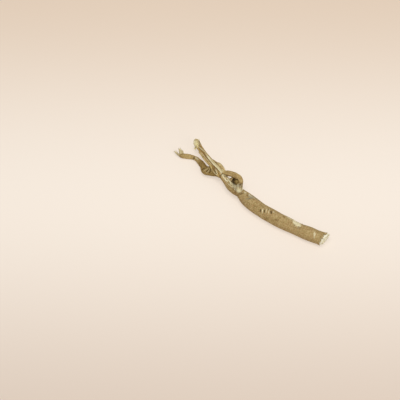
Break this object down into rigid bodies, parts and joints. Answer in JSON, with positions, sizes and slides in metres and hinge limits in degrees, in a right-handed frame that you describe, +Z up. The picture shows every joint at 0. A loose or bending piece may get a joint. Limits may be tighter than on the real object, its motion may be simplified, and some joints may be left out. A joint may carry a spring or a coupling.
{
  "type": "dried punarnava root",
  "caption": "Piece of dried medicinal root with a sawn end, bark-covered stem, arched rootlet at the neck, splintered arm and twisted, frayed rootlet, lying on a surface.",
  "frame": {"origin": "on the surface that the root lies on, under the middle of its bounding box", "axes": "+X across the root's longest extent, towards the sawn end; +Y towards the tip of the straight arm; +Z up from the surface"},
  "size_m": [0.0976, 0.0765, 0.0125],
  "materials": {
    "root_bark": "dry, matt, finely wrinkled bark"
  },
  "bodies": {
    "root": {"root": "root_bark"}
  },
  "joints": []
}
